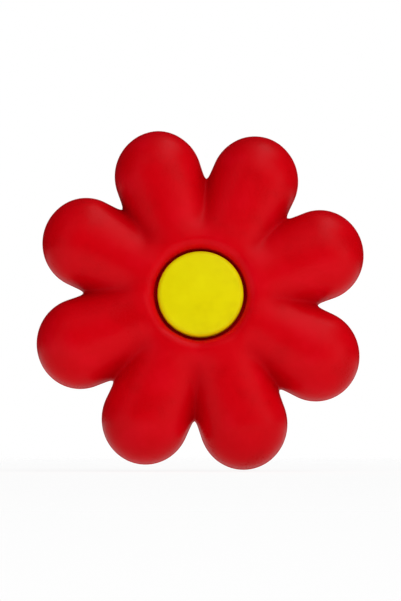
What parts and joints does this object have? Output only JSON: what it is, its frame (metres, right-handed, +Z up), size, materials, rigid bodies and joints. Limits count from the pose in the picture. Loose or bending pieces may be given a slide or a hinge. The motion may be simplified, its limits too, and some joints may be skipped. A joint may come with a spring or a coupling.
{
  "type": "vibration dampener",
  "caption": "Flower-faced vibration dampener: a domed petal face on a flat-sided spool that sits between two racket strings, joined by a round-headed plug.",
  "frame": {"origin": "centre of the bounding box, on the axis of the plug's stem", "axes": "+Z up along the strings, +X to the right seen from the front, +Y from the face towards the back flange; the face looks along -Y"},
  "size_m": [0.03, 0.0098, 0.0312],
  "materials": {
    "petal_silicone": "matte moulded red silicone",
    "button_silicone": "matte moulded yellow silicone",
    "clip_silicone": "matte moulded red silicone"
  },
  "bodies": {
    "clip": {"string_clip": "clip_silicone"},
    "flower": {"flower_face": "petal_silicone"},
    "plug": {"centre_button": "button_silicone"}
  },
  "joints": [
    {"name": "flower_turn", "type": "hinge", "parent": "clip", "child": "flower", "pos_m": [0, 0, 0], "axis": [0, 1, 0], "continuous": true},
    {"name": "button_turn", "type": "hinge", "parent": "clip", "child": "plug", "pos_m": [0, 0, 0], "axis": [0, 1, 0], "continuous": true}
  ]
}
